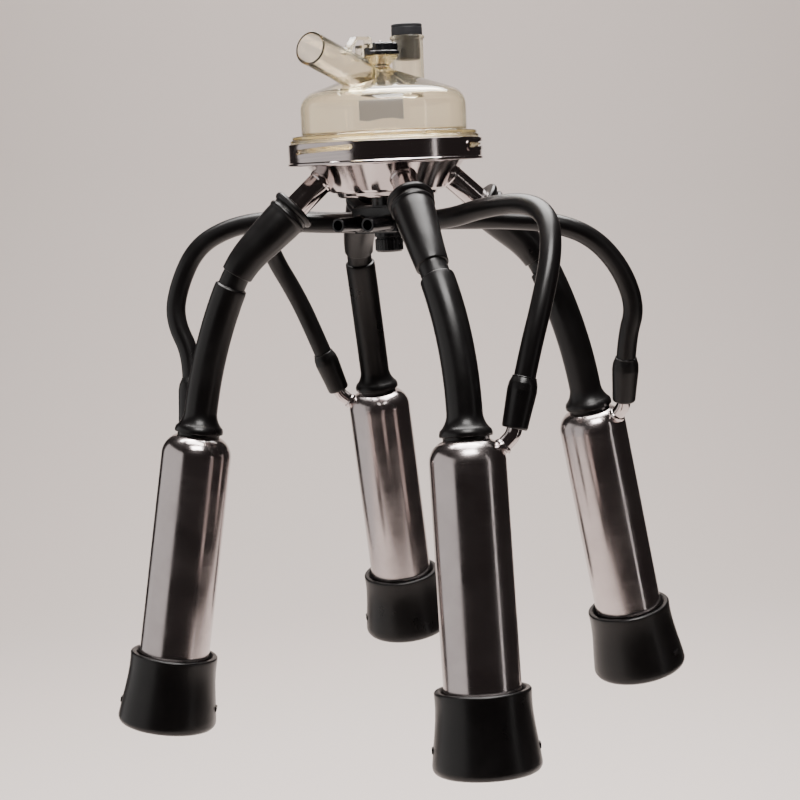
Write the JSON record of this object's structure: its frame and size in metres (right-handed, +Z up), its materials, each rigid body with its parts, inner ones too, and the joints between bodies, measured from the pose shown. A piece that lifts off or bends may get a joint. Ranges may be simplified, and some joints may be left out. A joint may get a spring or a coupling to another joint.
{
  "type": "milking cluster",
  "caption": "Milking cluster with a clear claw bowl on a steel cover, steel teat-cup shells with one-piece rubber liners, short pulse tubes, and a shut-off valve.",
  "frame": {"origin": "on the claw's axis at the waist of the neck under the shut-off knob, where the cluster is held up", "axes": "+Z up along the claw's axis with the cups hanging down, -Y towards the outlet nozzle, +X to the right seen from the nozzle side"},
  "size_m": [0.2974, 0.2949, 0.4439],
  "materials": {
    "clear_amber": "clear amber plastic, glossy",
    "steel": "polished stainless steel",
    "shell_steel": "polished stainless steel, fine turned brushing",
    "black_rubber": "smooth moulded black rubber with a soft sheen",
    "grey_rubber": "matt dark grey rubber",
    "black_plastic": "satin moulded black plastic"
  },
  "bodies": {
    "root": {"claw_bowl": "clear_amber", "claw_cover": "steel", "bowl_gasket": "black_rubber", "boss_plug": "grey_rubber", "pulse_distributor": "black_plastic", "distributor_stud": "steel", "distributor_nut": "black_plastic", "milk_inlet_front_left": "steel", "liner_front_left": "black_rubber", "shell_front_left": "shell_steel", "pulse_nipple_front_left": "steel", "pulse_cuff_front_left": "black_rubber", "pulse_tube_front_left": "black_rubber", "milk_inlet_front_right": "steel", "liner_front_right": "black_rubber", "shell_front_right": "shell_steel", "pulse_nipple_front_right": "steel", "pulse_cuff_front_right": "black_rubber", "pulse_tube_front_right": "black_rubber", "milk_inlet_rear_right": "steel", "liner_rear_right": "black_rubber", "shell_rear_right": "shell_steel", "pulse_nipple_rear_right": "steel", "pulse_cuff_rear_right": "black_rubber", "pulse_tube_rear_right": "black_rubber", "milk_inlet_rear_left": "steel", "liner_rear_left": "black_rubber", "shell_rear_left": "shell_steel", "pulse_nipple_rear_left": "steel", "pulse_cuff_rear_left": "black_rubber", "pulse_tube_rear_left": "black_rubber"},
    "valve": {"valve_knob": "black_plastic", "valve_stem": "steel", "valve_seal": "black_rubber"}
  },
  "joints": [
    {"name": "valve_lift", "type": "slide", "parent": "root", "child": "valve", "axis": [0, 0, 1], "range_m": [0, 0.006]}
  ]
}
